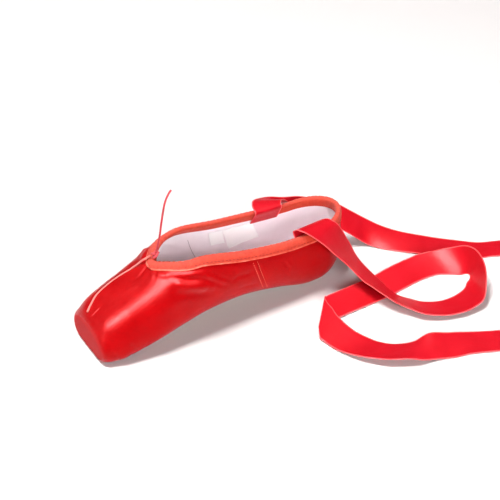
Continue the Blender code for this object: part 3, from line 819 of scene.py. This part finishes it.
# The satin gathered under the toe, fanned round the tip of the sole.
def pleats(points, places):
    offset = points - np.array([pleat["tip"], 0, 0])
    turn = np.arctan2(offset[..., 1], -offset[..., 0])
    reach = np.hypot(offset[..., 0], offset[..., 1])
    under = 1 - ramp(points[..., 2], *pleat["top"])
    fold = np.abs(np.sin(turn * pleat["count"])) ** pleat["sharpness"] - pleat["sharpness"]
    ahead = 1 - ramp(np.abs(turn), *pleat["turn"])
    behind = ramp(reach, *pleat["reach"]) * (places[:, None] > pleat["start"])
    return fold * pleat["height"] * under * ahead * behind


def creaseLift(points, places, side, collar):
    flat, shape = points.reshape(-1, 3), points.shape[:2]
    creases = (nearCreases if side < 0 else mirrored(nearCreases)) + throatCreases
    below = gapTo(flat, collar).reshape(shape) - casingDepth(points[..., 0])
    clear = ramp(below, *creaseField["underCasing"])
    heel = 1 - creaseField["heelDrop"] * ramp(points[..., 0], *creaseField["heel"])
    ends = ramp(places, *creaseField["platform"])[:, None] * heel
    return creaseHeight(flat, creases).reshape(shape) * clear * ends, clear


def halfPiece(points, base, side):
    rows, columns = base.shape[:2]
    run, girth = runAlong(base[:, columns // 2]), np.linspace(0, halfGirth, columns)
    uv = np.stack(np.broadcast_arrays(run[:, None], girth[None] * side), axis=-1)
    return gridPiece("half", columns, rows, points, uv)


def makeUpper():
    base, places = lastGrid(False, upper["fine"], upper["around"])
    collar = collarLine()
    halves = []
    for side in (-1, 1):
        points, normals = sideOf(base, side)
        normals[: rowCounts["platform"] - 1] = (-1, 0, 0)
        lift, clear = creaseLift(points, places, side, collar)
        lift += pleats(points, places) * clear
        points = points + normals * lift[..., None]
        points[..., 2] = np.maximum(points[..., 2], upper["offFloor"])
        halves.append(halfPiece(points, base, side))
    item = joinPieces(halves, "satin_upper")
    mergeAndTurnOut(item)
    addWall(item, upper["thickness"], -1.0)
    finishPiece(item, cloth["satin"])
    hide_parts("upper")
    print("satin upper", len(item.data.polygons), "faces")


makeUpper()


def makeLining():
    base, places = lastGrid(True, lining["fine"], lining["around"])
    collar = collarLine()
    halves = []
    for side in (-1, 1):
        points, normals = sideOf(base, side)
        lift = creaseLift(points, places, side, collar)[0]
        points = points + normals * np.minimum(lift, 0)[..., None]
        halves.append(halfPiece(points, base, side))
    item = joinPieces(halves, "canvas_lining")
    mergeAndTurnOut(item)
    addWall(item, lining["thickness"], 1.0)
    finishPiece(item, cloth["lining_canvas"])
    print("lining made")


makeLining()


# The plain wall without its creases, which the casing, stitches, seams and labels are laid on.
def surfaceTree(inside):
    base = lastGrid(inside, guide["fine"], guide["around"])[0]
    points, faces = [], []
    for side in (-1, 1):
        start = len(points)
        rows, columns = base.shape[:2]
        points.extend(Vector(p) for p in (base * (1, side, 1)).reshape(-1, 3))
        for row in range(rows - 1):
            for column in range(columns - 1):
                corner = start + row * columns + column
                faces.append((corner, corner + 1, corner + columns + 1, corner + columns))
    return BVHTree.FromPolygons(points, faces)


# Points round the collar's edge, each with its outward and downward directions and the wall there.
def collarFrames(count):
    heelStart = 1 - last["heelRound"]
    stations = list(last["throat"] + last["throatLength"] * (1 - np.cos(quarterTurn(guide["throat"]))))
    stations += list(np.linspace(stations[-1], heelStart, guide["side"])[1:])
    stations += list(heelStart + last["heelRound"] * np.sin(quarterTurn(guide["heel"])))[1:]
    stationStep, angleStep = 0.004, 0.02
    half = []
    for station in stations:
        angle = mouthAngle(station)
        shy = min(station, 1 - 1e-4)
        point = lastPoint(station, np.array(angle))
        side = lastPoint(shy, np.array(angle - angleStep)) - lastPoint(shy, np.array(angle))
        ahead = lastPoint(station - stationStep, np.array(angle))
        along = ahead - lastPoint(min(station + stationStep, 1), np.array(angle))
        out = unit(np.cross(side, along))
        if out[1] < 0:
            out = -out
        half.append(np.concatenate([point, out, [float(wallAt(station))]]))
    front, heel = half[0], half[-1]
    front[3:6] = unit(np.array([front[3], 0, abs(front[5])]))
    heel[3:6] = unit(np.array([1, 0, 0.1]))
    half = np.array(half)
    near = half * (1, -1, 1, 1, -1, 1, 1)
    loop = np.concatenate([near, half[-2:0:-1], near[:1]])
    run = runAlong(loop[:, :3])
    even = np.linspace(0, run[-1], count + 1)
    loop = np.stack([np.interp(even, run, loop[:, column]) for column in range(7)], axis=-1)[:-1]
    points, out, wall = loop[:, :3], unit(loop[:, 3:6]), loop[:, 6]
    tangent = unit(np.roll(points, -1, axis=0) - np.roll(points, 1, axis=0))
    down = unit(np.cross(tangent, out))
    out = unit(np.cross(down, tangent))
    return points, out, down, wall, even[:-1]


outerTree, innerTree = surfaceTree(False), surfaceTree(True)
frames = collarFrames(casing["count"])


def onWall(tree, point, out, sign, distance, lift, down):
    place, normal = tree.find_nearest(Vector(point + down * distance))[:2]
    normal = np.array(normal)
    if normal @ out * sign < 0:
        normal = -normal
    return np.array(place) + normal * lift


def gather(distance, size, period, phase):
    return size * math.sin(distance / mm * 2 * math.pi / period + phase)


def makeCasing():
    points, out, down, wall, run = frames
    gap, thick, inside = casing["gap"], casing["thick"], casing["inside"]
    rows = []
    for index in range(len(points)):
        point, outward, downward = points[index], out[index], down[index]
        rim = point - outward * wall[index]
        depth = float(casingDepth(point[0]))
        toThroat = math.exp(-(((point[0] - casing["throatPlace"]) / casing["throatSpread"]) ** 2))
        throatGather = gather(run[index], *casing["throatGather"]) + casing["throatGather"][0]
        puff = 1 + sum(gather(run[index], *wave) for wave in casing["gathers"]) + toThroat * throatGather
        wavy = depth * (1 + gather(run[index], *casing["edgeWave"]))
        row = []

        def outside(share, lift):
            row.append(onWall(outerTree, point, outward, 1, share, lift, downward))

        def within(share, lift):
            row.append(onWall(innerTree, rim, outward, -1, inside * share, lift, downward))

        for share, lift in casing["outsideLeg"]:
            outside(share * wavy, gap + thick * lift * (0.65 + 0.35 * puff))
        # over the rim, from the outer face to the inner
        rise = downward * (gap * 0.5 + thick * 0.25 * puff)
        row.append(point + outward * (gap + thick * 0.7 * puff) - rise)
        row.append(point * 0.72 + rim * 0.28 - downward * (gap * 0.7 + thick * 0.55 * puff))
        row.append(point * 0.28 + rim * 0.72 - downward * (gap * 0.7 + thick * 0.5 * puff))
        row.append(rim - outward * (gap + thick * 0.25) - downward * (gap * 0.5 + thick * 0.1))
        for share, lift in casing["insideLeg"]:
            within(share, gap + thick * lift)
        # and back along the wall, close to it
        for share in (1, 0.5, 0.1):
            within(share, gap * 0.5)
        row.append(rim - outward * gap * 0.5 - downward * gap * 0.15)
        row.append(point + outward * gap * 0.5 - downward * gap * 0.15)
        for share in (0.1, 0.5, 1):
            outside(depth * share, gap * 0.5)
        row.append(row[0])
        rows.append(row)
    rows.append(rows[0])
    grid = np.array(rows)
    girth = runAlong(grid[40])
    length = np.append(run, run[1] + run[-1])
    uv = np.stack(np.broadcast_arrays(length[:, None], girth[None]), axis=-1)
    item = gridPiece("casing_band", grid.shape[1], grid.shape[0], grid, uv)
    mergeAndTurnOut(item)
    finishPiece(item, cloth["casing"])
    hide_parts("binding")
    print("casing", len(item.data.polygons), "faces")


makeCasing()


stitch = {"segments": 8, "rings": 5, "flatness": 0.8}


def addStitches(name, places, along, out, length, width, material):
    clearSelection()
    bpy.ops.mesh.primitive_uv_sphere_add(segments=stitch["segments"], ring_count=stitch["rings"], radius=0.5)
    sample = bpy.context.object
    mesh = sample.data
    own = np.array([tuple(v.co) for v in mesh.vertices])
    faces = [tuple(p.vertices) for p in mesh.polygons]
    bpy.data.objects.remove(sample, do_unlink=True)
    vertices, polygons = [], []
    for place, direction, normal in zip(places, unit(along), unit(out)):
        start = len(vertices)
        side = np.cross(normal, direction)
        lengthways, sideways = own[:, 2:3] * direction * length, own[:, 0:1] * side * width
        upwards = own[:, 1:2] * normal * width * stitch["flatness"]
        vertices.extend(place + lengthways + sideways + upwards)
        polygons.extend(tuple(corner + start for corner in face) for face in faces)
    made = bpy.data.meshes.new(name)
    made.from_pydata([tuple(v) for v in vertices], [], polygons)
    item = bpy.data.objects.new(name, made)
    bpy.context.scene.collection.objects.link(item)
    mergeAndTurnOut(item, 0.001 * mm)
    finishPiece(item, cloth[material])


def stitchCasing():
    points, out, down, _, run = frames
    places, directions, normals = [], [], []
    length = run[-1] + run[1]
    for step in range(int(length / casing["stitchPitch"])):
        index = int(step * casing["stitchPitch"] / length * len(points))
        nextIndex = (index + 3) % len(points)
        lift = casing["gap"] + casing["thick"] * casing["stitchLift"]
        depth = float(casingDepth(points[index][0])) * casing["stitchDepth"]
        here = onWall(outerTree, points[index], out[index], 1, depth, lift, down[index])
        there = onWall(outerTree, points[nextIndex], out[nextIndex], 1, depth, lift, down[nextIndex])
        places.append(here)
        directions.append(there - here)
        normals.append(out[index])
    addStitches("casing_stitches", places, np.array(directions), np.array(normals),
                casing["stitchLength"], casing["stitchWidth"], "thread_red")


stitchCasing()


# A thin tube for the raised fold under the casing's lower edge; its paler colour is a painted highlight.
def pipeCasing():
    points, out, down = frames[:3]
    lift = casing["piping_painted_highlight"] * casing["pipingLift"]
    path = []
    for index in list(range(0, len(points), 4)) + [0]:
        depth = float(casingDepth(points[index][0])) + casing["pipingDrop"]
        path.append(onWall(outerTree, points[index], out[index], 1, depth, lift, down[index]))
    item = addTube("casing_piping_painted_highlight", path, casing["piping_painted_highlight"], 8)
    finishPiece(item, cloth["piping_painted_highlight"])


pipeCasing()
print("casing stitched and piped")

sole = {"thickness": 1.6 * mm, "fit": 0.3 * mm, "endGap": 0.0015, "rows": 110, "sharpest": 40}
# Across the sole: share of its half width, share of its thickness shaved off the lower edge there.
soleEdge = ((0, 0), (0.25, 0), (0.5, 0), (0.7, 0), (0.85, 0), (0.93, 0), (0.97, 0.07), (0.99, 0.2), (1, 0.42))


def bottomHeight(station, across):
    halfWidth, low, middle, _, floor = section(station, 0)
    share = np.minimum(np.abs(across) / halfWidth, 0.999)
    height = middle - (middle - low) * (1 - share ** last["lowerPower"]) ** (1 / last["lowerPower"])
    return np.maximum(height, floor)


def makeSole():
    first, final = soleRows[0, 0] + sole["endGap"], soleRows[-1, 0] - sole["endGap"]
    stations = first + (final - first) * (1 - np.cos(np.linspace(0, math.pi, sole["rows"]))) / 2
    edge = np.array(soleEdge)
    shares, cut = np.concatenate([edge[:0:-1] * (-1, 1), edge]).T
    rows = []
    for station in stations:
        across = shares * soleHalfWidth(station)
        place = np.full_like(across, station * (last["length"] - last["tuckBottom"]) - last["length"] / 2)
        top = bottomHeight(station, across) - sole["fit"]
        low = np.maximum(top - sole["thickness"] * (1 - cut), 0)
        upside = np.stack([place, across, top], axis=-1)
        under = np.stack([place, across, low], axis=-1)
        rows.append(np.concatenate([upside, under[::-1], upside[:1]]))
    tip, heel = (np.tile(row.mean(0), (len(row), 1)) for row in (rows[0], rows[-1]))
    rows = [tip] + rows + [heel]
    item = gridPiece("leather_sole", len(rows[0]), len(rows), np.array(rows))
    mergeAndTurnOut(item, 0.01 * mm)
    selectOnly(item)
    finishPiece(item, cloth["sole_leather"])
    bpy.ops.object.shade_smooth_by_angle(angle=math.radians(sole["sharpest"]))
    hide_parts("outsole")


makeSole()
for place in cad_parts["insole"].material_slots:
    place.material = cloth["sock"]
print("sole and sock finished")

# Corners in mm along and up the inside of the far wall, from the upper front one round.
labels = (
    ("small_label", (8.2, 48.7), (21.5, 47.1), (23.0, 34.8), (9.7, 36.4)),
    ("large_label", (21.9, 46.4), (50.3, 45.6), (56.2, 29.8), (26.6, 27.8)),
)
labelCloth = {
    "columns": 20, "rows": 14, "thickness": 0.3 * mm, "lift": 0.5 * mm, "hang": 2.0 * mm, "curl": 0.5 * mm,
    "weaveSize": (0.03, 0.015),
}
wallReach = {"inside": 31 * mm, "outside": 34 * mm}  # how far out the nearest wall is looked for


def makeLabels():
    columns, count = labelCloth["columns"], labelCloth["rows"]
    for name, *corners in labels:
        corners = np.array(corners) * mm
        rows = []
        for v in np.linspace(0, 1, count):
            left = corners[0] * (1 - v) + corners[3] * v
            right = corners[1] * (1 - v) + corners[2] * v
            row = []
            for u in np.linspace(0, 1, columns):
                x, z = left * (1 - u) + right * u
                wall = innerTree.find_nearest(Vector((x, wallReach["inside"], z)))[0]
                lift = labelCloth["lift"] + labelCloth["hang"] * v + labelCloth["curl"] * v * (2 * u - 1) ** 2
                row.append(np.array((x, wall.y - lift, z)))
            rows.append(row)
        across, down = labelCloth["weaveSize"]
        uv = np.stack(np.meshgrid(np.linspace(0, across, columns), np.linspace(0, down, count)), axis=-1)
        item = gridPiece(name, columns, count, np.array(rows), uv)
        addWall(item, labelCloth["thickness"])
        finishPiece(item, cloth["label_cloth"])


makeLabels()
print("labels hung")

liningSeam = {
    "line": ((-10.4, 47.5), (-9.7, 45), (-7, 36), (-4.1, 28.5)),  # mm along and up
    "diameter": 0.5 * mm, "lift": 0.42 * mm, "sides": 8,
}


def seamLining():
    for name, side in (("lining_seam_far", 1), ("lining_seam_near", -1)):
        path = []
        for x, z in smoothRows(liningSeam["line"], 8) * mm:
            wall = innerTree.find_nearest(Vector((x, side * wallReach["inside"], z)))[0]
            path.append((x, wall.y - side * liningSeam["lift"], z))
        item = addTube(name, path, liningSeam["diameter"], liningSeam["sides"])
        finishPiece(item, cloth["thread_grey"])


seamLining()
print("lining seams sewn")

sideSeams = {
    "lines": (((15, 53), (18, 41), (24, 23)), ((19, 53), (22, 40), (28, 22))),  # mm along and up
    "pitch": 2.1 * mm, "first": 1.2 * mm, "sunk": 0.15 * mm, "slope": (0.22, 0, -1),
    "length": 1.6 * mm, "width": 0.7 * mm,
}


def stitchSeams():
    places, normals = [], []
    for side in (-1, 1):
        for line in sideSeams["lines"]:
            path = smoothRows([(x, 0, z) for x, z in line], 20) * mm
            run = runAlong(path)
            for distance in np.arange(sideSeams["first"], run[-1], sideSeams["pitch"]):
                x, z = (np.interp(distance, run, path[:, axis]) for axis in (0, 2))
                place, normal = outerTree.find_nearest(Vector((x, side * wallReach["outside"], z)))[:2]
                normal = np.array(normal) * (1 if normal.y * side > 0 else -1)
                places.append(np.array(place) - normal * sideSeams["sunk"])
                normals.append(normal)
    slopes = np.tile(np.array(sideSeams["slope"]), (len(places), 1))
    addStitches("seam_stitches", places, slopes, np.array(normals), sideSeams["length"], sideSeams["width"],
                "thread_coral")


stitchSeams()
print("seams stitched")

floorLook = {"size": 6, "colour": (0.70, 0.68, 0.68), "rough": 0.9, "level": 0.1}
# Directions are from the target to the lamp. Key and fill light the cloth, and the soft box gives its gloss.
lamps = {
    "key_light": {"direction": (-0.25, 0.10, 0.96), "distance": 2.6, "size": 0.9, "power": 100.0,
                  "colour": (1, 0.985, 0.97), "diffuse": True, "glossy": False},
    "gloss_light": {"direction": (-0.28, -0.02, 0.96), "distance": 1.7, "size": 0.7, "power": 400.0,
                    "colour": (1, 1, 1), "diffuse": False, "glossy": True},
    "fill_light": {"direction": (-0.20, -0.90, 0.38), "distance": 2.0, "size": 0.9, "power": 38.0,
                   "colour": (1, 1, 1), "diffuse": True, "glossy": False},
}
lampTarget = Vector((0.05, -0.03, 0.03))
sky = {"colour": (1, 0.86, 0.85), "low": 0.15, "high": 0.9, "horizon": 0.04, "zenith": 0.13}


def addLamp(name, look):
    place = Vector(look["direction"]).normalized() * look["distance"] + lampTarget
    bpy.ops.object.light_add(type="AREA", location=place)
    lamp = bpy.context.object
    lamp.name = name
    lamp.data.shape = "DISK"
    lamp.data.size = look["size"]
    lamp.data.energy = look["power"]
    lamp.data.color = look["colour"]
    lamp.visible_glossy = look["glossy"]
    lamp.visible_diffuse = look["diffuse"]
    lamp.rotation_euler = (lampTarget - place).to_track_quat("-Z", "Y").to_euler()


def addFloor():
    clearSelection()
    bpy.ops.mesh.primitive_plane_add(size=floorLook["size"], location=(0, 0, 0))
    floor = bpy.context.object
    floor.name = "floor"
    material, _, _, shader = newMaterial("floor_white")
    shader.inputs["Base Color"].default_value = (*floorLook["colour"], 1)
    shader.inputs["Roughness"].default_value = floorLook["rough"]
    shader.inputs["Specular IOR Level"].default_value = floorLook["level"]
    floor.data.materials.append(material)


def addSky():
    world = bpy.data.worlds.new("studio")
    world.use_nodes = True
    nodes, links = world.node_tree.nodes, world.node_tree.links
    place = addNode(nodes, "TexCoord")
    axes = addNode(nodes, "SeparateXYZ")
    strength = addNode(nodes, "MapRange", From_Min=sky["low"], From_Max=sky["high"], To_Min=sky["horizon"],
                       To_Max=sky["zenith"])
    links.new(place.outputs["Generated"], axes.inputs[0])
    links.new(axes.outputs[2], strength.inputs["Value"])
    links.new(strength.outputs["Result"], nodes["Background"].inputs["Strength"])
    nodes["Background"].inputs["Color"].default_value = (*sky["colour"], 1)
    world.cycles_visibility.glossy = False
    bpy.context.scene.world = world


def addStage():
    addFloor()
    for name, look in lamps.items():
        addLamp(name, look)
    addSky()
    bpy.context.scene.view_settings.view_transform = "Standard"


addStage()
